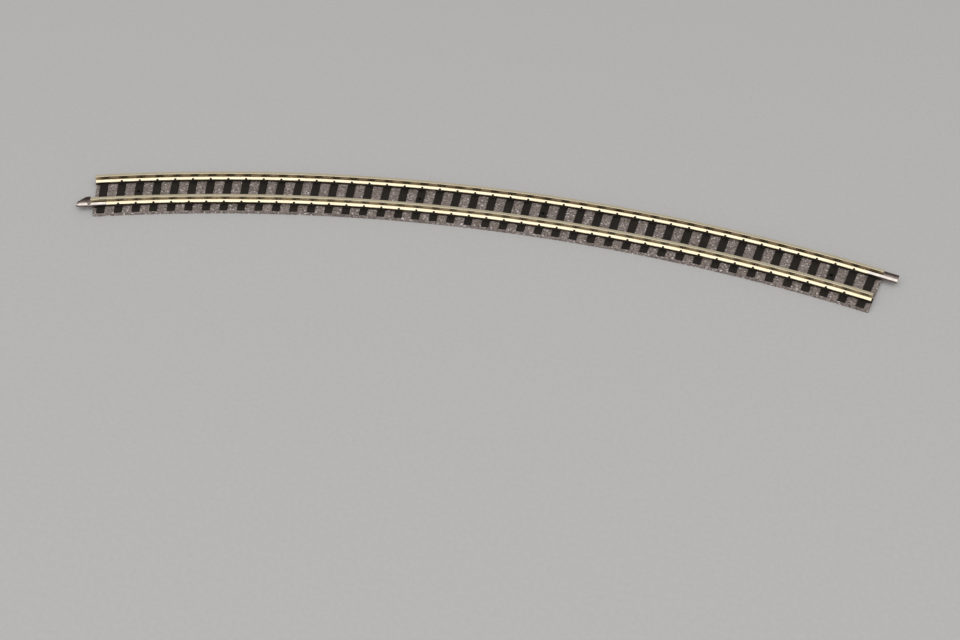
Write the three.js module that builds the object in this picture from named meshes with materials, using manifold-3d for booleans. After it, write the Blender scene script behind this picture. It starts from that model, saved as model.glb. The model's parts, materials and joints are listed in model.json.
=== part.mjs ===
// Curved model railway track section, 9 mm gauge, on a moulded ballast bed.
//
// Frame (millimetres): the origin is under the middle of the track, on the base plane.
// +X runs along the track's tangent there, towards the end whose outer rail has a joiner.
// +Y points radially outwards, away from the centre of the curve, and +Z is up.
//
// Each piece is first drawn straight, as an outline across the track (x outwards, y up)
// that is extruded along the track (z), and is then bent round the curve or set at its station.

import * as THREE from 'three';
import { mergeVertices } from 'three/addons/utils/BufferGeometryUtils.js';
import Module from 'manifold-3d';

// Plan
const CURVE_RADIUS = 430;
const SLEEPER_COUNT = 44;
const ARC_ANGLE = THREE.MathUtils.degToRad(30);
const SLEEPER_ANGLE = ARC_ANGLE / SLEEPER_COUNT;
const TRACK_LENGTH = CURVE_RADIUS * ARC_ANGLE;
const PITCH = TRACK_LENGTH / SLEEPER_COUNT;
const GAUGE = 9.0;
const NAILED_SLEEPERS = [3, 19, 26, 42];
const PLAIN_END_SETBACK = 0.3;
const BED_START = -112.2;
const BED_END = 112.6;

// Heights above the base plane
const POCKET_FLOOR = 0.3;
const BED_TOP = 0.9;
const SLEEPER_TOP = 1.3;
const SEAT = 1.6;
const CLEARANCE = 0.05;

// The bed and the sleepers lie a little inwards of the middle between the rails.
const BED_SHIFT = -0.2;

// Ballast bed, half-widths
const BED_BASE_HALF = 8.65;
const BED_SHOULDER_HALF = 8.55;
const BED_TOP_HALF = 8.15;

// Sleeper strip
const SLEEPER_WIDTH = 2.2;
const SLEEPER_HALF_LENGTH = 8.25;
const PLATE_HALF = 1.55;
const PLATE_GAP = 0.03;
const CLIP_WIDTH = 0.7;
const STRINGER_HALF = 0.7;
const STRINGER_LENGTH = PITCH - SLEEPER_WIDTH + 1.2;
const INNER_OPEN_BAYS = [11, 18, 27, 35];
const OUTER_OPEN_BAYS = [12, 19, 28, 36];
const PAD_HALF = 1.4;
const PAD_LENGTH = 1.7;
const NAIL_RADIUS = 0.5;
const NAIL_SIDES = 12;

// Flat-bottomed rail
const RAIL_HEIGHT = 2.04;
const FOOT_HALF = 0.95;
const FOOT_EDGE = 0.3;
const WEB_HALF = 0.25;
const WEB_BASE = 0.68;
const HEAD_BASE = 1.38;
const HEAD_HALF = 0.48;
const HEAD_ROUND = 0.08;
const RAIL_OFFSET = GAUGE / 2 + HEAD_HALF;
const RAIL_STEPS = 30;

// Folded joiner round the rail foot
const SHEET = 0.2;
const JOINER_COVER = 4.1;
const SQUARE_REACH = 4.1;
const TAPERED_REACH = 4.4;
const LIP_HALF = 0.5;
const TIP_LENGTH = 1.3;
const TIP_HALF = 0.6;
const OPEN_START = 0.1;
const OPEN_HEIGHT = 0.95;
const EAR_LENGTH = 3.2;
const EAR_HEIGHT = 1.8;
const EAR_TIP_HEIGHT = 0.65;
const NOTCH_LENGTH = 1.0;
const NOTCH_REACH = 0.3;

const wasm = await Module();
wasm.setup();

function solidOf(geometry) {
  const bare = geometry.clone();
  bare.deleteAttribute('normal');
  bare.deleteAttribute('uv');
  const merged = mergeVertices(bare, 1e-4);
  return new wasm.Manifold(new wasm.Mesh({
    numProp: 3,
    vertProperties: merged.attributes.position.array,
    triVerts: Uint32Array.from(merged.index.array),
  }));
}

function geometryOf(solid) {
  const mesh = solid.getMesh();
  const geometry = new THREE.BufferGeometry();
  geometry.setAttribute('position', new THREE.BufferAttribute(mesh.vertProperties, 3));
  geometry.setIndex(new THREE.BufferAttribute(mesh.triVerts, 1));
  return geometry;
}

function union(solids) {
  return solids.reduce((joined, solid) => joined.add(solid));
}

// An outline extruded along the track, centred on its own middle.
function extruded(outline, length, steps = 1) {
  const shape = new THREE.Shape(outline.map(([x, y]) => new THREE.Vector2(x, y)));
  const geometry = new THREE.ExtrudeGeometry(shape, { depth: length, steps, bevelEnabled: false });
  return geometry.translate(0, 0, -length / 2);
}

// Straight extrusion to curved track: z becomes the angle round the curve, x the radius.
function bent(geometry) {
  const position = geometry.attributes.position;
  for (let i = 0; i < position.count; i += 1) {
    const angle = position.getZ(i) / CURVE_RADIUS;
    const radius = CURVE_RADIUS + position.getX(i);
    const height = position.getY(i);
    position.setXYZ(i, radius * Math.sin(angle), radius * Math.cos(angle) - CURVE_RADIUS, height);
  }
  return geometry;
}

// The frame of a station on the curve: x outwards, y up, z along the track.
function station(angle) {
  const axes = new THREE.Matrix4().makeBasis(
    new THREE.Vector3(0, 1, 0),
    new THREE.Vector3(0, 0, 1),
    new THREE.Vector3(1, 0, 0),
  );
  const turn = new THREE.Matrix4().makeRotationZ(-angle);
  const out = new THREE.Matrix4().makeTranslation(0, CURVE_RADIUS, 0);
  const back = new THREE.Matrix4().makeTranslation(0, -CURVE_RADIUS, 0);
  return back.multiply(turn).multiply(out).multiply(axes);
}

function placed(geometry, angle) {
  return geometry.clone().applyMatrix4(station(angle));
}

// Sleepers are numbered from 1 at the -X end, and bay n lies between sleepers n and n + 1.
function sleeperAngle(number) {
  return (number - (SLEEPER_COUNT + 1) / 2) * SLEEPER_ANGLE;
}

function bayAngle(number) {
  return sleeperAngle(number + 0.5);
}

function nailHole(number) {
  const drill = new THREE.CylinderGeometry(NAIL_RADIUS, NAIL_RADIUS, 4 * SEAT, NAIL_SIDES);
  return solidOf(placed(drill, sleeperAngle(number)));
}

function mirrored(points) {
  return points.map(([x, y]) => [-x, y]).reverse();
}

function shifted(points, dx, dy) {
  return points.map(([x, y]) => [x + dx, y + dy]);
}

function rectangle(halfWidth, low, high) {
  return [[-halfWidth, low], [halfWidth, low], [halfWidth, high], [-halfWidth, high]];
}

function ballastBed() {
  const side = [
    [BED_BASE_HALF, 0],
    [BED_SHOULDER_HALF, BED_TOP / 2],
    [BED_TOP_HALF, BED_TOP],
  ];
  const section = shifted([...side, ...mirrored(side)], BED_SHIFT, 0);
  const straight = extruded(section, BED_END - BED_START, SLEEPER_COUNT);
  const bed = solidOf(bent(straight.translate(0, 0, (BED_START + BED_END) / 2)));
  const pocketOutline = rectangle(SLEEPER_HALF_LENGTH + CLEARANCE, POCKET_FLOOR, SEAT);
  const pocket = extruded(shifted(pocketOutline, BED_SHIFT, 0), SLEEPER_WIDTH + 2 * CLEARANCE);
  const cuts = [];
  for (let number = 1; number <= SLEEPER_COUNT; number += 1) {
    cuts.push(solidOf(placed(pocket, sleeperAngle(number))));
  }
  cuts.push(...NAILED_SLEEPERS.map(nailHole));
  return bed.subtract(union(cuts));
}

// One sleeper's outline, raised to a seat plate under each rail that it holds.
// The end sleepers hold neither rail, so that a joiner can slide over them.
function sleeperOutline(seatedRails) {
  const plateTop = SEAT - PLATE_GAP;
  const bottom = POCKET_FLOOR + CLEARANCE;
  const outerEnd = BED_SHIFT + SLEEPER_HALF_LENGTH;
  const innerEnd = BED_SHIFT - SLEEPER_HALF_LENGTH;
  const plates = seatedRails.flatMap((offset) => [
    [offset + PLATE_HALF, SLEEPER_TOP],
    [offset + PLATE_HALF, plateTop],
    [offset - PLATE_HALF, plateTop],
    [offset - PLATE_HALF, SLEEPER_TOP],
  ]);
  return [
    [innerEnd, bottom],
    [outerEnd, bottom],
    [outerEnd, SLEEPER_TOP],
    ...plates,
    [innerEnd, SLEEPER_TOP],
  ];
}

// The slope on top of the rail foot, from its edge up to the web.
function footSlope(x) {
  return FOOT_EDGE + (WEB_BASE - FOOT_EDGE) * (FOOT_HALF - x) / (FOOT_HALF - WEB_HALF);
}

// A clip stands beside the rail foot and its lip reaches in over the foot's slope.
function clipOutline() {
  const stem = FOOT_HALF + CLEARANCE;
  const lip = 0.68;
  const back = 1.45;
  return [
    [stem, -0.1],
    [back, -0.1],
    [back - 0.05, 0.35],
    [stem, 0.8],
    [lip, 0.8],
    [lip, footSlope(lip) + CLEARANCE],
    [stem, FOOT_EDGE + CLEARANCE],
  ];
}

function clips(offset) {
  const outer = clipOutline();
  return [outer, mirrored(outer)].map((side) => extruded(shifted(side, offset, SEAT), CLIP_WIDTH));
}

function stringer(offset) {
  const outline = rectangle(STRINGER_HALF, BED_TOP + CLEARANCE, SLEEPER_TOP);
  return extruded(shifted(outline, offset, 0), STRINGER_LENGTH);
}

// A flat pad beside an end sleeper, under the inner end of a joiner. It narrows along the track.
function joinerPad(offset, towards) {
  const start = SLEEPER_WIDTH / 2 - 0.2;
  const plan = new THREE.Shape([
    new THREE.Vector2(-PAD_HALF, start),
    new THREE.Vector2(PAD_HALF, start),
    new THREE.Vector2(STRINGER_HALF - 0.1, start + PAD_LENGTH),
    new THREE.Vector2(0.1 - STRINGER_HALF, start + PAD_LENGTH),
  ]);
  const depth = SLEEPER_TOP - BED_TOP - CLEARANCE;
  const pad = new THREE.ExtrudeGeometry(plan, { depth, bevelEnabled: false });
  pad.rotateX(-Math.PI / 2);
  pad.rotateY(towards > 0 ? Math.PI : 0);
  return pad.translate(offset, SLEEPER_TOP - depth, 0);
}

function sleeperStrip() {
  const pieces = [];
  for (let number = 1; number <= SLEEPER_COUNT; number += 1) {
    const rails = number === 1 || number === SLEEPER_COUNT ? [] : [RAIL_OFFSET, -RAIL_OFFSET];
    const shapes = [extruded(sleeperOutline(rails), SLEEPER_WIDTH), ...rails.flatMap(clips)];
    pieces.push(...shapes.map((shape) => solidOf(placed(shape, sleeperAngle(number)))));
  }
  for (let bay = 1; bay < SLEEPER_COUNT; bay += 1) {
    const offsets = [];
    if (!OUTER_OPEN_BAYS.includes(bay)) offsets.push(RAIL_OFFSET);
    if (!INNER_OPEN_BAYS.includes(bay)) offsets.push(-RAIL_OFFSET);
    pieces.push(...offsets.map((offset) => solidOf(placed(stringer(offset), bayAngle(bay)))));
  }
  for (const offset of [RAIL_OFFSET, -RAIL_OFFSET]) {
    pieces.push(solidOf(placed(joinerPad(offset, 1), sleeperAngle(1))));
    pieces.push(solidOf(placed(joinerPad(offset, -1), sleeperAngle(SLEEPER_COUNT))));
  }
  return union(pieces).subtract(union(NAILED_SLEEPERS.map(nailHole)));
}

// plainEnd is the end (-1 or 1) that has no joiner, where the rail stops a little short.
function rail(offset, plainEnd) {
  const side = [
    [FOOT_HALF, 0],
    [FOOT_HALF, FOOT_EDGE],
    [WEB_HALF, WEB_BASE],
    [WEB_HALF, HEAD_BASE],
    [HEAD_HALF, HEAD_BASE + HEAD_ROUND],
    [HEAD_HALF, RAIL_HEIGHT - HEAD_ROUND],
    [HEAD_HALF - HEAD_ROUND, RAIL_HEIGHT],
  ];
  const outline = shifted([...side, ...mirrored(side)], offset, SEAT);
  const straight = extruded(outline, TRACK_LENGTH - PLAIN_END_SETBACK, RAIL_STEPS);
  return bent(straight.translate(0, 0, -plainEnd * PLAIN_END_SETBACK / 2));
}

// The folded sheet's section: a floor under the foot, two walls, and two flanges over the slopes.
function joinerOutline() {
  const inner = FOOT_HALF + CLEARANCE;
  const outer = inner + SHEET;
  const slopeGap = 0.06;
  const slopeSheet = 0.246;
  const lipLow = footSlope(LIP_HALF) + slopeGap;
  const wallLow = footSlope(inner) + slopeGap;
  const wallHigh = footSlope(outer) + slopeGap + slopeSheet;
  return [
    [-outer, -CLEARANCE - SHEET],
    [outer, -CLEARANCE - SHEET],
    [outer, wallHigh],
    [LIP_HALF, lipLow + slopeSheet],
    [LIP_HALF, lipLow],
    [inner, wallLow],
    [inner, -CLEARANCE],
    [-inner, -CLEARANCE],
    [-inner, wallLow],
    [-LIP_HALF, lipLow],
    [-LIP_HALF, lipLow + slopeSheet],
    [-outer, wallHigh],
  ];
}

// A vertical prism over the joiner from a plan outline (across the rail, along the rail).
function planPrism(points) {
  const plan = new THREE.Shape(points.map(([x, y]) => new THREE.Vector2(x, y)));
  const prism = new THREE.ExtrudeGeometry(plan, { depth: 4, bevelEnabled: false });
  return prism.rotateX(-Math.PI / 2).translate(0, -1, 0);
}

// A joiner is drawn along z, with its free end at -z and the rail's end at z = 0.
// Past the rail's end its outward flange (at +x) stands open, to the plate's outline in side view.
function openedJoiner(reach, plateOutline) {
  const outer = FOOT_HALF + CLEARANCE + SHEET;
  const length = JOINER_COVER + reach;
  const channel = extruded(joinerOutline(), length).translate(0, 0, JOINER_COVER - length / 2);
  const opened = [
    [LIP_HALF - 0.2, OPEN_START],
    [outer - SHEET, OPEN_START],
    [outer - SHEET, reach + 1],
    [LIP_HALF - 0.2, reach + 1],
  ];
  const plan = new THREE.Shape(plateOutline.map(([z, y]) => new THREE.Vector2(z, y)));
  const plate = new THREE.ExtrudeGeometry(plan, { depth: SHEET, bevelEnabled: false });
  const standing = solidOf(plate.rotateY(Math.PI / 2).translate(outer - SHEET, 0, 0));
  return solidOf(channel).subtract(aboveFloor(opened)).add(standing);
}

// A prism from a plan outline that leaves the joiner's floor alone.
function aboveFloor(points) {
  const floor = solidOf(extruded(rectangle(3, -1, 0.2), 6 * JOINER_COVER));
  return solidOf(planPrism(points)).subtract(floor);
}

function squareJoiner() {
  return openedJoiner(SQUARE_REACH, [
    [OPEN_START, 0],
    [SQUARE_REACH, 0],
    [SQUARE_REACH, OPEN_HEIGHT],
    [OPEN_START, OPEN_HEIGHT],
  ]);
}

// The tapered joiner's tip narrows like a bow, its inward flange is notched past the rail's end,
// and its outward flange stands up as an ear that falls away towards the tip.
function taperedJoiner() {
  const outer = FOOT_HALF + CLEARANCE + SHEET;
  const ear = [
    [OPEN_START, 0],
    [EAR_LENGTH, 0],
    [EAR_LENGTH, EAR_TIP_HEIGHT],
    [1.5, EAR_HEIGHT - 0.1],
    [OPEN_START, EAR_HEIGHT],
  ];
  const keep = [
    [-outer - 1, -JOINER_COVER - 1],
    [outer + 1, -JOINER_COVER - 1],
    [outer + 1, TAPERED_REACH - TIP_LENGTH],
    [outer, TAPERED_REACH - TIP_LENGTH],
    [TIP_HALF + 0.2, TAPERED_REACH - 0.3],
    [TIP_HALF - 0.2, TAPERED_REACH],
    [0.2 - TIP_HALF, TAPERED_REACH],
    [-TIP_HALF - 0.2, TAPERED_REACH - 0.3],
    [-outer, TAPERED_REACH - TIP_LENGTH],
    [-outer - 1, TAPERED_REACH - TIP_LENGTH],
  ];
  const notch = [
    [-LIP_HALF - NOTCH_REACH, OPEN_START],
    [0.2 - LIP_HALF, OPEN_START],
    [0.2 - LIP_HALF, OPEN_START + NOTCH_LENGTH],
    [-LIP_HALF - NOTCH_REACH, OPEN_START + NOTCH_LENGTH],
  ];
  const body = openedJoiner(TAPERED_REACH, ear);
  return body.subtract(aboveFloor(notch)).intersect(solidOf(planPrism(keep)));
}

// Sets a joiner on one end of a rail, in line with the rail's end. end is -1 or 1.
function joiner(solid, offset, end) {
  const turned = end > 0 ? solid.mirror([0, 0, 1]) : solid;
  return placed(geometryOf(turned).translate(offset, SEAT, 0), end * ARC_ANGLE / 2);
}

function finish(color, roughness, metalness) {
  return new THREE.MeshStandardMaterial({ color, roughness, metalness });
}

const ballastFinish = finish(0x82776f, 0.9, 0);
const sleeperFinish = finish(0x26231f, 0.7, 0);
const railFinish = finish(0xc9b98a, 0.3, 1);
const joinerFinish = finish(0xd8d6d0, 0.3, 1);

const group = new THREE.Group();

function addPiece(name, geometry, material) {
  const mesh = new THREE.Mesh(geometry, material);
  mesh.name = name;
  group.add(mesh);
}

addPiece('ballast_bed', geometryOf(ballastBed()), ballastFinish);
addPiece('sleeper_strip', geometryOf(sleeperStrip()), sleeperFinish);
addPiece('inner_rail', rail(-RAIL_OFFSET, 1), railFinish);
addPiece('outer_rail', rail(RAIL_OFFSET, -1), railFinish);
addPiece('inner_joiner', joiner(taperedJoiner(), -RAIL_OFFSET, -1), joinerFinish);
addPiece('outer_joiner', joiner(squareJoiner(), RAIL_OFFSET, 1), joinerFinish);

export default group;
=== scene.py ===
"""Looks for a curved model track section: two rails, two joiners, a sleeper strip and a ballast bed."""
import json
import math

import bmesh
import bpy
import numpy as np
from mathutils import Matrix, Vector

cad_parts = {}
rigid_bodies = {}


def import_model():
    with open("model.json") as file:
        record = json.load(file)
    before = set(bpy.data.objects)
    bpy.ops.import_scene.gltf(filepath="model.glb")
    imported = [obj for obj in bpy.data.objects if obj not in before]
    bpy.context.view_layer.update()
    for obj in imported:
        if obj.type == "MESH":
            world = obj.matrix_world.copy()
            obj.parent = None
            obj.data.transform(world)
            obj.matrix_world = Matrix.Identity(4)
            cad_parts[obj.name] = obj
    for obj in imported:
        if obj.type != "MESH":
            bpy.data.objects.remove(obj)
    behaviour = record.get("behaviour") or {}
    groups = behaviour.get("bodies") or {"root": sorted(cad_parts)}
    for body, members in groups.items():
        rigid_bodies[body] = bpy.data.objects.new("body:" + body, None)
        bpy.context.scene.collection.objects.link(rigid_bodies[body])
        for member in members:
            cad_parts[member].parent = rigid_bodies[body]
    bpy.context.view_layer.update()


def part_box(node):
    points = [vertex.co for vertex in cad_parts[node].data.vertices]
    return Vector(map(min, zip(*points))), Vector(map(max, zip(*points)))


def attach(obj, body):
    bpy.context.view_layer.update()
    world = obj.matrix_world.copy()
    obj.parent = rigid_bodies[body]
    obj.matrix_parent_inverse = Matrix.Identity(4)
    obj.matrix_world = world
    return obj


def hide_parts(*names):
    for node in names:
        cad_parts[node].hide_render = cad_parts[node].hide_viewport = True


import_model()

# Millimetres, as in the CAD. Meshes are scaled to metres when they are made.
MM = 0.001
SEED = 7
CURVE_RADIUS = 430.0
ARC = math.radians(30)
SLEEPERS = 44
LENGTH = CURVE_RADIUS * ARC
PITCH = LENGTH / SLEEPERS
RAIL_OFFSET = 4.98
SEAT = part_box("inner_rail")[0].z / MM
RAIL_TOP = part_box("inner_rail")[1].z / MM
BED_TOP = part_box("ballast_bed")[1].z / MM
SLEEPER_TOP = SEAT - 0.3
POCKET_FLOOR = 0.3
BED_SHIFT = -0.2

# Camera: the place and the aim point on the base plane, and the roll and lens.
CAMERA_PLACE = (62.4, -319.1, 286.1)
CAMERA_AIM = (7.9, -44.0, 0.0)
CAMERA_ROLL = math.radians(-0.69)
CAMERA_LENS = 56.53


# ---------------------------------------------------------------- mesh helpers

def on_curve(u, s, h):
    """Track coordinates (outwards, along, up) in millimetres to points in metres."""
    u, s, h = np.broadcast_arrays(u, s, h)
    angle = s / CURVE_RADIUS
    radius = CURVE_RADIUS + u
    x = radius * np.sin(angle)
    y = radius * np.cos(angle) - CURVE_RADIUS
    return np.stack([x, y, h], -1).reshape(-1, 3) * MM


def station(s):
    """The matrix that sets a piece drawn at the middle of the track at a distance along it."""
    centre = Matrix.Translation((0, -CURVE_RADIUS * MM, 0))
    return centre @ Matrix.Rotation(-s / CURVE_RADIUS, 4, "Z") @ centre.inverted()


def sleeper_place(number):
    """Sleepers are numbered from 1 at the -X end."""
    return (number - (SLEEPERS + 1) / 2) * PITCH


def mesh_of(name, points, faces):
    mesh = bpy.data.meshes.new(name)
    mesh.from_pydata([tuple(p) for p in points], [], [tuple(int(i) for i in f) for f in faces])
    work = bmesh.new()
    work.from_mesh(mesh)
    bmesh.ops.recalc_face_normals(work, faces=work.faces)
    work.to_mesh(mesh)
    work.free()
    return mesh


def piece(name, mesh, material, body, node, sharp=35):
    """A finished piece that stands for a CAD node."""
    mesh.shade_smooth()
    mesh.set_sharp_from_angle(angle=math.radians(sharp))
    mesh.materials.clear()
    mesh.materials.append(material)
    made = bpy.data.objects.new(name, mesh)
    bpy.context.scene.collection.objects.link(made)
    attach(made, body)
    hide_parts(node)
    return made


def tube_faces(rings, around):
    """Quads of a closed tube of rings, with a polygon on each end."""
    faces = []
    for ring in range(rings - 1):
        for k in range(around):
            a = ring * around + k
            b = ring * around + (k + 1) % around
            faces.append((a, b, b + around, a + around))
    faces.append(tuple(range(around)))
    faces.append(tuple(range((rings - 1) * around, rings * around)))
    return faces


def arc(cx, cy, radius, start, end, count=5):
    """Points of a circular arc, with angles in degrees."""
    turns = [math.radians(start + (end - start) * i / (count - 1)) for i in range(count)]
    return [(cx + radius * math.cos(t), cy + radius * math.sin(t)) for t in turns]


def mirrored(points):
    return [(-x, y) for x, y in reversed(points)]


def joined(name, parts):
    """One mesh from several meshes, which are then removed."""
    work = bmesh.new()
    for part in parts:
        work.from_mesh(part)
        bpy.data.meshes.remove(part)
    mesh = bpy.data.meshes.new(name)
    work.to_mesh(mesh)
    work.free()
    return mesh


# ---------------------------------------------------------------- material helpers

class Shader:
    """A node material with short calls for the nodes that are used here."""

    def __init__(self, name, **values):
        self.material = bpy.data.materials.new(name)
        self.material.use_nodes = True
        self.tree = self.material.node_tree
        self.surface = self.tree.nodes["Principled BSDF"]
        self.place = self.add("ShaderNodeTexCoord").outputs["Object"]
        for socket, value in values.items():
            self.surface.inputs[socket.replace("_", " ")].default_value = value

    def add(self, kind, **settings):
        node = self.tree.nodes.new(kind)
        for key, value in settings.items():
            setattr(node, key, value)
        return node

    def link(self, output, socket):
        self.tree.links.new(output, socket)

    def noise(self, vector, scale, detail=3.0, rough=0.55):
        node = self.add("ShaderNodeTexNoise")
        node.inputs["Scale"].default_value = scale
        node.inputs["Detail"].default_value = detail
        node.inputs["Roughness"].default_value = rough
        self.link(vector, node.inputs["Vector"])
        return node.outputs["Fac"]

    def cells(self, vector, scale, output="Color"):
        node = self.add("ShaderNodeTexVoronoi")
        node.inputs["Scale"].default_value = scale
        self.link(vector, node.inputs["Vector"])
        return node.outputs[output]

    def ramp(self, value, stops):
        node = self.add("ShaderNodeValToRGB")
        elements = node.color_ramp.elements
        while len(elements) < len(stops):
            elements.new(0.5)
        for element, (position, color) in zip(elements, stops):
            element.position = position
            element.color = (*color, 1)
        self.link(value, node.inputs["Fac"])
        return node.outputs["Color"]

    def spread(self, value, low, high):
        node = self.add("ShaderNodeMapRange")
        node.inputs["To Min"].default_value = low
        node.inputs["To Max"].default_value = high
        self.link(value, node.inputs["Value"])
        return node.outputs["Result"]

    def mix(self, factor, first, second, blend="MIX"):
        node = self.add("ShaderNodeMix", data_type="RGBA", blend_type=blend)
        for name, value in (("Factor", factor), ("A", first), ("B", second)):
            socket = node.inputs[name]
            if isinstance(value, bpy.types.NodeSocket):
                self.link(value, socket)
            else:
                socket.default_value = value
        return node.outputs["Result"]

    def bump(self, height, distance, strength=1.0):
        node = self.add("ShaderNodeBump")
        node.inputs["Distance"].default_value = distance
        node.inputs["Strength"].default_value = strength
        self.link(height, node.inputs["Height"])
        self.link(node.outputs["Normal"], self.surface.inputs["Normal"])

    def height_band(self, start, full, fade, end):
        """1 between two heights in millimetres, falling to 0 outside them."""
        split = self.add("ShaderNodeSeparateXYZ")
        self.link(self.place, split.inputs[0])
        edges = []
        for zero, one in ((start, full), (end, fade)):
            edge = self.add("ShaderNodeMapRange")
            edge.inputs["From Min"].default_value = zero * MM
            edge.inputs["From Max"].default_value = one * MM
            self.link(split.outputs["Z"], edge.inputs["Value"])
            edges.append(edge.outputs["Result"])
        both = self.add("ShaderNodeMath", operation="MULTIPLY")
        self.link(edges[0], both.inputs[0])
        self.link(edges[1], both.inputs[1])
        return both.outputs["Value"]

    def around_curve(self, along_scale):
        """Coordinates that follow the rails: the radius, X shrunken by a factor, the height."""
        shift = self.add("ShaderNodeVectorMath", operation="ADD")
        shift.inputs[1].default_value = (0, CURVE_RADIUS * MM, 0)
        self.link(self.place, shift.inputs[0])
        split = self.add("ShaderNodeSeparateXYZ")
        self.link(shift.outputs["Vector"], split.inputs[0])
        flat = self.add("ShaderNodeCombineXYZ")
        self.link(split.outputs["X"], flat.inputs["X"])
        self.link(split.outputs["Y"], flat.inputs["Y"])
        radius = self.add("ShaderNodeVectorMath", operation="LENGTH")
        self.link(flat.outputs["Vector"], radius.inputs[0])
        along = self.add("ShaderNodeMath", operation="MULTIPLY")
        along.inputs[1].default_value = along_scale
        self.link(split.outputs["X"], along.inputs[0])
        whole = self.add("ShaderNodeCombineXYZ")
        self.link(radius.outputs["Value"], whole.inputs["X"])
        self.link(along.outputs["Value"], whole.inputs["Y"])
        self.link(split.outputs["Z"], whole.inputs["Z"])
        return whole.outputs["Vector"]


def rail_material():
    """Bright drawn nickel silver: fine lines along the rail and painted shade on the web, a browner,
    darker tint under the head.
    """
    shader = Shader("nickel_silver", Metallic=1.0)
    lines = shader.noise(shader.around_curve(0.02), 9000, 2.0)
    patches = shader.noise(shader.place, 260, 4.0)
    metal = shader.ramp(patches, [(0.3, (0.81, 0.70, 0.49)), (0.7, (0.88, 0.78, 0.57))])
    # Painted shade: the band over the web, between the foot's slope and the head, is multiplied by a
    # browner, darker tint.
    web = shader.height_band(SEAT + 0.66, SEAT + 0.74, SEAT + 1.34, SEAT + 1.42)
    shade_tint = shader.mix(web, (1, 1, 1, 1), (0.80, 0.72, 0.56, 1))
    shader.link(shader.mix(1.0, metal, shade_tint, "MULTIPLY"), shader.surface.inputs["Base Color"])
    shader.link(shader.spread(patches, 0.27, 0.21), shader.surface.inputs["Roughness"])
    shader.bump(lines, 0.003 * MM, 0.5)
    return shader.material


def joiner_material():
    """Bright sheet metal with faint rubbing marks, with painted shade on its walls and along its folds.
    """
    shader = Shader("joiner_sheet", Metallic=1.0)
    marks = shader.noise(shader.place, 2400, 5.0, 0.7)
    patches = shader.noise(shader.place, 500, 3.0)
    bright = shader.ramp(patches, [(0.3, (0.58, 0.52, 0.47)), (0.7, (0.82, 0.77, 0.71))])
    # Painted shade: the per-point attribute darkens the walls, the folds and the inner faces towards a
    # dark colour.
    painted_shade = shader.add("ShaderNodeAttribute", attribute_name="painted_shade").outputs["Fac"]
    shade_tint = shader.mix(marks, (0.14, 0.11, 0.11, 1), (0.38, 0.32, 0.31, 1))
    shader.link(shader.mix(painted_shade, bright, shade_tint), shader.surface.inputs["Base Color"])
    shader.link(shader.spread(marks, 0.40, 0.24), shader.surface.inputs["Roughness"])
    shader.bump(marks, 0.008 * MM, 0.7)
    return shader.material


def sleeper_material():
    """Matte black-brown plastic with a fine moulded texture."""
    shader = Shader("sleeper_plastic", Specular_IOR_Level=0.22)
    fine = shader.noise(shader.place, 5200, 4.0, 0.6)
    broad = shader.noise(shader.place, 420, 3.0)
    shader.link(
        shader.ramp(broad, [(0.3, (0.0105, 0.0083, 0.0066)), (0.7, (0.020, 0.0155, 0.0120))]),
        shader.surface.inputs["Base Color"],
    )
    shader.link(shader.spread(fine, 0.5, 0.75), shader.surface.inputs["Roughness"])
    shader.bump(fine, 0.03 * MM, 0.5)
    return shader.material


def ballast_material():
    """Crushed stone in grey-brown, with a few pale and a few dark chips."""
    shader = Shader("ballast_stone", Roughness=0.8, Specular_IOR_Level=0.3)
    chips = shader.add("ShaderNodeSeparateColor")
    shader.link(shader.cells(shader.place, 2900), chips.inputs["Color"])
    stone = shader.ramp(chips.outputs["Red"], [
        (0.0, (0.105, 0.083, 0.075)),
        (0.3, (0.20, 0.165, 0.150)),
        (0.7, (0.27, 0.225, 0.205)),
        (0.92, (0.36, 0.31, 0.285)),
        (0.99, (0.72, 0.68, 0.66)),
    ])
    dust = shader.noise(shader.place, 9000, 3.0)
    worn = shader.mix(dust, (0.82, 0.80, 0.79, 1), (1.18, 1.18, 1.18, 1))
    shader.link(shader.mix(1.0, stone, worn, "MULTIPLY"), shader.surface.inputs["Base Color"])
    shader.bump(dust, 0.05 * MM, 0.7)
    return shader.material


def table_material():
    shader = Shader("pale_floor", Roughness=0.6, Specular_IOR_Level=0.25)
    grain = shader.noise(shader.place, 900, 4.0)
    shader.link(
        shader.ramp(grain, [(0.3, (0.505, 0.501, 0.493)), (0.7, (0.535, 0.530, 0.522))]),
        shader.surface.inputs["Base Color"],
    )
    return shader.material


# ---------------------------------------------------------------- rails

FOOT_HALF = 0.95
FOOT_EDGE = 0.3
WEB_HALF = 0.25
WEB_BASE = 0.68
HEAD_HALF = 0.48
HEAD_BASE = 1.40
RAIL_HEIGHT = RAIL_TOP - SEAT
RAIL_STATIONS = 441
PLAIN_END_SETBACK = 0.3


def foot_slope(x):
    """Height of the foot's upper side, which curves up to the web."""
    share = (FOOT_HALF - x) / (FOOT_HALF - WEB_HALF)
    return FOOT_EDGE + (WEB_BASE - FOOT_EDGE) * share ** 1.12


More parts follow.
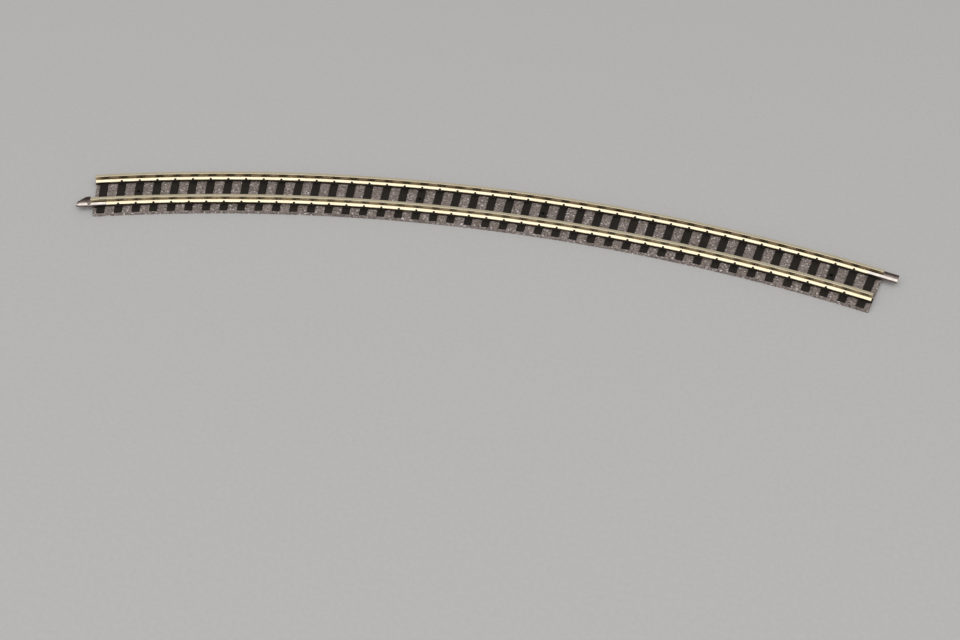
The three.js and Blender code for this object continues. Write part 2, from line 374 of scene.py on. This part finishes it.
def rail_section():
    """The outline of the rail. Close pairs of points keep its straight stretches flat in the shading."""
    slope = [(x, foot_slope(x)) for x in np.linspace(FOOT_HALF - 0.05, WEB_HALF + 0.02, 8)]
    side = [
        *arc(FOOT_HALF - 0.05, 0.05, 0.05, -90, 0, 3),
        *arc(FOOT_HALF - 0.05, FOOT_EDGE - 0.04, 0.05, 0, 60, 3),
        *slope[1:],
        (WEB_HALF, WEB_BASE + 0.03),
        (WEB_HALF, WEB_BASE + 0.08),
        (WEB_HALF, HEAD_BASE - 0.15),
        *arc(WEB_HALF + 0.12, HEAD_BASE - 0.1, 0.12, 180, 100, 4),
        *arc(HEAD_HALF - 0.05, HEAD_BASE + 0.09, 0.05, -60, 0, 3),
        (HEAD_HALF, HEAD_BASE + 0.13),
        (HEAD_HALF, RAIL_HEIGHT - 0.15),
        *arc(HEAD_HALF - 0.11, RAIL_HEIGHT - 0.11, 0.11, 0, 90, 6),
        (HEAD_HALF - 0.15, RAIL_HEIGHT),
    ]
    return side + mirrored(side)


def make_rail(name, offset, plain_end, material):
    """plain_end is the end (-1 or 1) that has no joiner, where the rail stops a little short."""
    section = rail_section()
    ends = [side * (LENGTH / 2 - (PLAIN_END_SETBACK if side == plain_end else 0)) for side in (-1, 1)]
    run = np.linspace(*ends, RAIL_STATIONS)[:, None]
    across = np.array([x for x, y in section])[None, :] + offset
    up = np.array([y for x, y in section])[None, :] + SEAT
    points = on_curve(across, run, up)
    mesh = mesh_of(name, points, tube_faces(RAIL_STATIONS, len(section)))
    return piece(name + "_drawn", mesh, material, "track", name, 33)


# ---------------------------------------------------------------- joiners

SHEET = 0.19
JOINER_COVER = 4.1
SQUARE_REACH = 4.1
TAPERED_REACH = 4.4
JOINER_STATIONS = 90
WALL_HALF = FOOT_HALF + 0.055 + SHEET / 2
FLOOR_MIDDLE = -0.05 - SHEET / 2
BEND = 0.16
FLANGE_REACH = 0.5
TIP_LENGTH = 1.3
NOTCH_MIDDLE = 0.6
EAR_START = 0.12
OPEN_HEIGHT = 0.95
FACE_SAMPLES = 20

# Distances along the sheet's half line to the end of its floor and to the top of its wall.
FLOOR_RUN = 1.05
WALL_RUN = 1.62


def joiner_line():
    """Half of the sheet's middle line, from the floor's middle round the wall to the flange's edge."""
    slope = math.degrees(math.atan2(WEB_BASE - FOOT_EDGE, FOOT_HALF - WEB_HALF))
    drop = math.radians(slope)
    rise = FOOT_EDGE + 0.19
    floor = [(x, FLOOR_MIDDLE) for x in np.linspace(0, WALL_HALF - BEND, 5)]
    lower = arc(WALL_HALF - BEND, FLOOR_MIDDLE + BEND, BEND, -90, 0, 6)
    upper = arc(WALL_HALF - BEND, rise - 0.09, BEND, 0, 90 - slope, 5)
    edge = upper[-1]
    run = (edge[0] - FLANGE_REACH) / math.cos(drop)
    steps = np.linspace(0, run, 7)[1:]
    flange = [(edge[0] - d * math.cos(drop), edge[1] + d * math.sin(drop)) for d in steps]
    return np.array(floor + lower[1:] + upper + flange)


def ear_line(height):
    """Half of the sheet's middle line where the flange stands open: a wall up to a height."""
    floor = [(x, FLOOR_MIDDLE) for x in np.linspace(0, WALL_HALF - BEND, 5)]
    lower = arc(WALL_HALF - BEND, FLOOR_MIDDLE + BEND, BEND, -90, 0, 6)
    start = FLOOR_MIDDLE + BEND
    wall = [(WALL_HALF + 0.05 * t, start + (height - start) * t) for t in np.linspace(0, 1, 9)[1:]]
    return np.array(floor + lower[1:] + wall)


def ear_height(beyond):
    """The open flange's height above the seat, past the rail's end. Its edge is ragged."""
    smooth = np.interp(beyond, (EAR_START, 1.5, 3.2, TAPERED_REACH), (1.80, 1.70, 0.72, 0.15))
    return float(smooth) + 0.10 * math.sin(beyond * 8.5) + 0.06 * math.sin(beyond * 19.0)


def line_lengths(line):
    steps = np.linalg.norm(np.diff(line, axis=0), axis=1)
    return np.concatenate([[0], np.cumsum(steps)])


def line_normals(line):
    tangent = np.gradient(line, axis=0)
    tangent /= np.linalg.norm(tangent, axis=1)[:, None]
    return np.stack([tangent[:, 1], -tangent[:, 0]], 1)


def flange_share(beyond):
    """How much of the tapered joiner's inward half line is kept: it has a notch and a bow-like tip."""
    from_tip = TAPERED_REACH - beyond
    keep = 1.0
    if from_tip < TIP_LENGTH:
        keep = 0.62 + 0.38 * math.sqrt(max(from_tip, 0) / TIP_LENGTH)
    notch = abs(beyond - NOTCH_MIDDLE) / 0.55
    if notch < 1:
        keep = min(keep, 0.74 + 0.26 * notch ** 6)
    return keep


def tip_narrowing(beyond):
    from_tip = TAPERED_REACH - beyond
    if from_tip >= TIP_LENGTH:
        return 1.0
    return 0.58 + 0.42 * math.sin(0.5 * math.pi * max(from_tip, 0) / TIP_LENGTH)


def half_line(beyond, tapered, side):
    """The sheet's middle line on one side (-1 inward, 1 outward) and the share of it that is kept."""
    if side > 0 and beyond > EAR_START:
        return ear_line(ear_height(beyond) if tapered else OPEN_HEIGHT), 1.0
    return joiner_line(), flange_share(beyond) if tapered and side < 0 else 1.0


def sheet_faces(line, share, side):
    """The outer and the inner face of one half of the sheet, and where each face gets painted shade."""
    lengths = line_lengths(line)
    normals = line_normals(line)
    at = np.linspace(0, share * lengths[-1], FACE_SAMPLES)
    x = np.interp(at, lengths, line[:, 0])
    y = np.interp(at, lengths, line[:, 1])
    nx = np.interp(at, lengths, normals[:, 0])
    ny = np.interp(at, lengths, normals[:, 1])
    outer = np.stack([side * (x + nx * SHEET / 2), y + ny * SHEET / 2], 1)
    inner = np.stack([side * (x - nx * SHEET / 2), y - ny * SHEET / 2], 1)
    # Painted shade: on the outer face over the lower fold and the wall, and on the inner face past the
    # floor.
    outer_painted_shade = ((at > FLOOR_RUN - 0.2) & (at < WALL_RUN)).astype(float)
    inner_painted_shade = (at > FLOOR_RUN).astype(float)
    return outer, inner, outer_painted_shade, inner_painted_shade


def round_the_sheet(outer, inner, outer_far, inner_far):
    """One closed run: along the outer face from side to side, and back along the inner face."""
    return np.concatenate([outer[::-1], outer_far[1:], inner_far[::-1], inner[1:]])


def joiner_ring(beyond, tapered):
    """The closed outline of the sheet at a distance past the rail's end, and its painted shade."""
    near = sheet_faces(*half_line(beyond, tapered, -1), -1)
    far = sheet_faces(*half_line(beyond, tapered, 1), 1)
    ring = round_the_sheet(near[0], near[1], far[0], far[1])
    painted_shade = round_the_sheet(near[2], near[3], far[2], far[3])
    if tapered:
        ring[:, 0] *= tip_narrowing(beyond)
    return ring, painted_shade


def make_joiner(name, offset, end, tapered, material):
    reach = TAPERED_REACH if tapered else SQUARE_REACH
    places = np.linspace(-JOINER_COVER, reach, JOINER_STATIONS)
    rings = [joiner_ring(beyond, tapered) for beyond in places]
    turn = np.array(station(end * LENGTH / 2))
    origin = np.array([0, offset, SEAT]) * MM
    points = []
    for beyond, (ring, painted_shade) in zip(places, rings):
        local = np.stack([np.full(len(ring), end * beyond), ring[:, 0], ring[:, 1]], 1) * MM + origin
        points.append(local @ turn[:3, :3].T + turn[:3, 3])
    mesh = mesh_of(name, np.concatenate(points), tube_faces(len(rings), len(rings[0][0])))
    # Painted shade, kept per point for the joiner material.
    shade_tint = mesh.attributes.new("painted_shade", "FLOAT", "POINT")
    shade_tint.data.foreach_set("value", np.concatenate([painted_shade for ring, painted_shade in rings]))
    return piece(name + "_folded", mesh, material, name + "_body", name, 50)


# ---------------------------------------------------------------- sleeper strip

SLEEPER_WIDTH = 2.2
SLEEPER_HALF = 8.25
SLEEPER_BOTTOM = POCKET_FLOOR + 0.05
PLATE_HALF = 1.5
PLATE_WIDTH = 2.0
CLIP_BASE = 0.85
CLIP_TOP = 0.42
STRINGER_HALF = 0.7
PAD_HALF = 1.4
PAD_LENGTH = 1.7
PAD_OVERLAP = 0.25
NAIL_RADIUS = 0.5
NAILED = (3, 19, 26, 42)
INNER_OPEN_BAYS = (11, 18, 27, 35)
OUTER_OPEN_BAYS = (12, 19, 28, 36)


def rounded(points, faces, width):
    """A small bevelled solid, from points (outwards, along, up) in millimetres."""
    work = bmesh.new()
    corners = [work.verts.new((p[1], p[0], p[2])) for p in points]
    for face in faces:
        work.faces.new([corners[i] for i in face])
    bmesh.ops.recalc_face_normals(work, faces=work.faces)
    edges = list(work.edges)
    bmesh.ops.bevel(work, geom=edges, offset=width, segments=2, affect="EDGES", profile=0.5)
    mesh = bpy.data.meshes.new("part")
    work.to_mesh(mesh)
    work.free()
    return mesh


def prism(outline, width_at, bevel):
    """An outline across the track (outwards, up), with a width along it that may change with height."""
    count = len(outline)
    points = [(x, side * width_at(y) / 2, y) for side in (-1, 1) for x, y in outline]
    faces = [tuple(range(count)), tuple(range(2 * count - 1, count - 1, -1))]
    faces += [(i, (i + 1) % count, (i + 1) % count + count, i + count) for i in range(count)]
    return rounded(points, faces, bevel)


def box_outline(middle, half, low, high):
    return [(middle - half, low), (middle + half, low), (middle + half, high), (middle - half, high)]


def grained_block(seed):
    """The sleeper's own block: its top has shallow wood grain and its edges are slightly soft."""
    rng = np.random.default_rng(seed)
    run = BED_SHIFT + np.linspace(-SLEEPER_HALF, SLEEPER_HALF, 60)
    half = SLEEPER_WIDTH / 2
    soft = 0.07
    top = np.linspace(-half + soft, half - soft, 13)
    grain = rng.normal(0, 0.016, (len(run), len(top)))
    grain = sum(np.roll(grain, k, 0) for k in range(-4, 5)) / 3.2
    rings = []
    for i, u in enumerate(run):
        inset = 0.06 if i in (0, len(run) - 1) else 0.0
        ring = [(-half + inset, SLEEPER_BOTTOM), (-half + inset, SLEEPER_TOP - soft - inset)]
        ring += [(s * (1 - inset), SLEEPER_TOP - 0.03 - inset + grain[i, k]) for k, s in enumerate(top)]
        ring += [(half - inset, SLEEPER_TOP - soft - inset), (half - inset, SLEEPER_BOTTOM)]
        rings.append([(s, u, h) for s, h in ring])
    points = [p for ring in rings for p in ring]
    return mesh_of("block", points, tube_faces(len(rings), len(rings[0])))


def clip_outline():
    """A clip beside the rail foot, with a lip that reaches in over the foot's slope."""
    stem = FOOT_HALF + 0.04
    lip = 0.72
    top = 0.64
    return [
        (stem, -0.12), (1.48, -0.12), (1.42, 0.26), (1.22, 0.52), (0.95, top),
        (lip, top), (lip, foot_slope(lip) + 0.05), (stem, FOOT_EDGE + 0.05),
    ]


def clip_width(height):
    share = min(max((height - SEAT) / 0.8, 0), 1)
    return CLIP_BASE + (CLIP_TOP - CLIP_BASE) * share


def seat_parts(offset):
    plate = box_outline(offset, PLATE_HALF, SLEEPER_TOP - 0.12, SEAT - 0.005)
    parts = [prism(plate, lambda height: PLATE_WIDTH, 0.05)]
    for side in (-1, 1):
        outline = [(offset + side * x, SEAT + y) for x, y in clip_outline()]
        parts.append(prism(outline, clip_width, 0.04))
    return parts


def combine(base, others, operation):
    """Boolean of one mesh with several, one after the other."""
    scene = bpy.context.scene.collection.objects
    target = bpy.data.objects.new("target", base)
    scene.link(target)
    tools = [bpy.data.objects.new("tool", mesh) for mesh in others]
    for tool in tools:
        scene.link(tool)
        cut = target.modifiers.new("cut", "BOOLEAN")
        cut.operation = operation
        cut.solver = "EXACT"
        cut.object = tool
    bpy.context.view_layer.update()
    graph = bpy.context.evaluated_depsgraph_get()
    result = bpy.data.meshes.new_from_object(target.evaluated_get(graph))
    for tool in [target, *tools]:
        mesh = tool.data
        bpy.data.objects.remove(tool)
        bpy.data.meshes.remove(mesh)
    return result


def nail_drill():
    work = bmesh.new()
    place = Matrix.Translation((0, 0, SEAT))
    bmesh.ops.create_cone(work, cap_ends=True, segments=32, radius1=NAIL_RADIUS, radius2=NAIL_RADIUS,
                          depth=4 * SEAT, matrix=place)
    mesh = bpy.data.meshes.new("drill")
    work.to_mesh(mesh)
    work.free()
    return mesh


def sleeper_mesh(rails, nailed, seed):
    parts = [part for offset in rails for part in seat_parts(offset)]
    mesh = combine(grained_block(seed), parts, "UNION")
    return combine(mesh, [nail_drill()], "DIFFERENCE") if nailed else mesh


def set_at(mesh, s):
    """A copy of a mesh drawn in millimetres at the middle of the track, set at its station in metres."""
    copy = mesh.copy()
    copy.transform(station(s) @ Matrix.Scale(MM, 4))
    return copy


def stringer_mesh(offset):
    outline = box_outline(offset, STRINGER_HALF, BED_TOP - 0.1, SLEEPER_TOP - 0.02)
    return prism(outline, lambda height: PITCH - SLEEPER_WIDTH + 0.5, 0.06)


def pad_mesh(offset, towards):
    """A flat pad beside an end sleeper, on its -X side (towards -1) or its +X side (towards 1)."""
    start = SLEEPER_WIDTH / 2 - PAD_OVERLAP
    end = start + PAD_LENGTH
    plan = [(-PAD_HALF, start), (PAD_HALF, start), (STRINGER_HALF, end), (-STRINGER_HALF, end)]
    levels = (BED_TOP - 0.1, SLEEPER_TOP - 0.02)
    points = [(offset + x, towards * y, level) for level in levels for x, y in plan]
    faces = [(0, 1, 2, 3), (7, 6, 5, 4)] + [(i, (i + 1) % 4, (i + 1) % 4 + 4, i + 4) for i in range(4)]
    return rounded(points, faces, 0.06)


def make_strip(material):
    both = (-RAIL_OFFSET, RAIL_OFFSET)
    plain = [sleeper_mesh(both, False, SEED + k) for k in range(4)]
    nailed = sleeper_mesh(both, True, SEED + 4)
    end_blocks = {1: grained_block(SEED + 5), SLEEPERS: grained_block(SEED + 6)}
    stringers = {offset: stringer_mesh(offset) for offset in both}
    order = np.random.default_rng(SEED).integers(0, len(plain), SLEEPERS)
    parts = []
    for number in range(1, SLEEPERS + 1):
        kind = nailed if number in NAILED else end_blocks.get(number, plain[order[number - 1]])
        parts.append(set_at(kind, sleeper_place(number)))
    for bay in range(1, SLEEPERS):
        for offset, gaps in ((-RAIL_OFFSET, INNER_OPEN_BAYS), (RAIL_OFFSET, OUTER_OPEN_BAYS)):
            if bay not in gaps:
                parts.append(set_at(stringers[offset], sleeper_place(bay + 0.5)))
    for offset in both:
        parts.append(set_at(pad_mesh(offset, -1), sleeper_place(1)))
        parts.append(set_at(pad_mesh(offset, 1), sleeper_place(SLEEPERS)))
    mesh = joined("sleeper_strip", parts)
    return piece("sleeper_strip_moulded", mesh, material, "track", "sleeper_strip", 30)


# ---------------------------------------------------------------- ballast bed

BASE_HALF = 8.65
TOP_HALF = 8.15
BED_START = -112.2
BED_END = 112.6
STONE = 0.42
STONE_HEIGHT = 0.17
GRID = 0.15
POCKET_GAP = 0.04
CORNER = 0.35


def stone_height(u, s):
    """Rounded stones of slightly different heights: each falls away from its own centre."""
    table = np.random.default_rng(SEED).random((4096, 3))
    column = np.floor(u / STONE).astype(int)
    row = np.floor(s / STONE).astype(int)
    nearest = np.full(u.shape, 9.0)
    lift = np.zeros(u.shape)
    for i in (-1, 0, 1):
        for j in (-1, 0, 1):
            pick = table[((column + i) * 73856093 ^ (row + j) * 19349663) % len(table)]
            du = (column + i + pick[..., 0]) * STONE - u
            ds = (row + j + pick[..., 1]) * STONE - s
            distance = np.hypot(du, ds) / STONE
            closer = distance < nearest
            nearest = np.where(closer, distance, nearest)
            lift = np.where(closer, pick[..., 2], lift)
    return STONE_HEIGHT * (0.45 + 0.55 * lift) * np.clip(1 - nearest ** 2, 0, 1)


def bed_rows():
    """Rows across the bed: (outwards, height, share of the stone height, lean of the surface).

    The rows are drawn about the bed's own middle, which make_bed moves by BED_SHIFT.
    """
    lip = BED_TOP - 0.1
    lean = BASE_HALF - TOP_HALF
    side = [(BASE_HALF - lean * t ** 1.8, lip * t, min(3 * t, 1), 1 - t) for t in np.linspace(0, 1, 9)]
    edge = SLEEPER_HALF + POCKET_GAP
    inner = [edge - 0.25, edge - 0.1] if edge < TOP_HALF else []
    top = np.linspace(-TOP_HALF + 0.1, TOP_HALF - 0.1, int(2 * TOP_HALF / GRID))
    flat = [(u, BED_TOP - 0.1, 1.0, 0.0) for u in [*[-x for x in inner], *top, *inner]]
    left = [(-u, h, share, lean) for u, h, share, lean in side]
    return left + flat + side[::-1]


def even_steps(start, end):
    return list(np.linspace(start, end, max(2, int((end - start) / GRID) + 1)))


def bed_columns():
    """Places along the bed, with a close pair on each side of every sleeper's pocket."""
    half = SLEEPER_WIDTH / 2 + POCKET_GAP
    places = []
    start = BED_START
    for number in range(1, SLEEPERS + 1):
        middle = sleeper_place(number)
        places += even_steps(start, middle - half)
        places += [middle - half + 0.02, middle, middle + half - 0.02]
        start = middle + half
    return np.array(places + even_steps(start, BED_END))


def in_pocket(u, s):
    offset = np.abs((s / PITCH - 0.5 * (SLEEPERS % 2 == 0)) % 1.0)
    away = np.minimum(offset, 1 - offset) * PITCH
    half = SLEEPER_WIDTH / 2 + POCKET_GAP - 0.01
    return (away < half) & (np.abs(u - BED_SHIFT) < SLEEPER_HALF)


def make_bed(material):
    rows = np.array(bed_rows())
    columns = bed_columns()
    u, s = np.meshgrid(rows[:, 0], columns, indexing="xy")
    base = np.broadcast_to(rows[:, 1], u.shape)
    share = np.broadcast_to(rows[:, 2], u.shape)
    lean = np.broadcast_to(rows[:, 3], u.shape)
    stones = stone_height(u, s) * share
    height = base + stones * (1 - 0.6 * lean)
    out = u - np.sign(u) * (STONE_HEIGHT - stones) * 0.5 * lean * share
    height = np.where(in_pocket(u + BED_SHIFT, s), POCKET_FLOOR, height)
    to_end = np.clip(np.minimum(s - BED_START, BED_END - s) / CORNER, 0, 1)
    inset = CORNER * (1 - np.sqrt(1 - (1 - to_end) ** 2))
    out = out - np.sign(u) * inset * (np.abs(u) / BASE_HALF) ** 8 + BED_SHIFT
    wide, long = len(rows), len(columns)
    feet = [on_curve(out[i], columns[i], 0) for i in (0, -1)]
    points = np.concatenate([feet[0], on_curve(out, s, height), feet[1]])
    return piece("ballast_bed_stones", closed_bed(points, wide, long), material,
                 "track", "ballast_bed", 60)


def closed_bed(points, wide, long):
    """Faces over the rows of points, with the flat underside and the two lower edges closed."""
    faces = []
    for i in range(long + 1):
        for k in range(wide - 1):
            a = i * wide + k
            faces.append((a, a + 1, a + 1 + wide, a + wide))
    last = (long + 1) * wide
    faces.append((*range(wide), 2 * wide - 1, wide))
    faces.append((*range(last, last + wide), last - 1, last - wide))
    for i in range(1, long):
        a = i * wide
        faces.append((a, a + wide - 1, a + 2 * wide - 1, a + wide))
    return mesh_of("ballast_bed", points, faces)


# ---------------------------------------------------------------- studio

def make_camera():
    data = bpy.data.cameras.new("camera")
    data.lens = CAMERA_LENS
    data.sensor_width = 36
    data.clip_start = 0.01
    camera = bpy.data.objects.new("camera", data)
    bpy.context.scene.collection.objects.link(camera)
    place = Vector(CAMERA_PLACE) * MM
    look = (Vector(CAMERA_AIM) * MM - place).to_track_quat("-Z", "Y")
    roll = Matrix.Rotation(CAMERA_ROLL, 4, "Z")
    camera.matrix_world = Matrix.Translation(place) @ look.to_matrix().to_4x4() @ roll
    bpy.context.scene.camera = camera


def make_floor(material):
    size = 3.0
    mesh = bpy.data.meshes.new("floor")
    corners = [(-size, -size, 0), (size, -size, 0), (size, size, 0), (-size, size, 0)]
    mesh.from_pydata(corners, [], [(0, 1, 2, 3)])
    mesh.materials.append(material)
    floor = bpy.data.objects.new("floor", mesh)
    bpy.context.scene.collection.objects.link(floor)


def make_light(name, place, aim, size, power):
    data = bpy.data.lights.new(name, "AREA")
    data.shape = "RECTANGLE"
    data.size, data.size_y = size
    data.energy = power
    light = bpy.data.objects.new(name, data)
    bpy.context.scene.collection.objects.link(light)
    look = (Vector(aim) - Vector(place)).to_track_quat("-Z", "Y")
    light.matrix_world = Matrix.Translation(place) @ look.to_matrix().to_4x4()


def make_world(strength):
    world = bpy.data.worlds.new("studio")
    world.use_nodes = True
    background = world.node_tree.nodes["Background"]
    background.inputs["Color"].default_value = (1.0, 0.995, 0.985, 1)
    background.inputs["Strength"].default_value = strength
    bpy.context.scene.world = world


def make_studio():
    make_camera()
    make_floor(table_material())
    make_world(0.49)
    make_light("ceiling", (0, -0.42, 1.0), (0, 0, 0), (2.5, 1.2), 9.4)
    bpy.context.scene.view_settings.view_transform = "Standard"


make_studio()
RAIL_METAL = rail_material()
JOINER_METAL = joiner_material()
make_rail("inner_rail", -RAIL_OFFSET, 1, RAIL_METAL)
make_rail("outer_rail", RAIL_OFFSET, -1, RAIL_METAL)
make_joiner("inner_joiner", -RAIL_OFFSET, -1, True, JOINER_METAL)
make_joiner("outer_joiner", RAIL_OFFSET, 1, False, JOINER_METAL)
make_strip(sleeper_material())
make_bed(ballast_material())

bpy.context.view_layer.update()
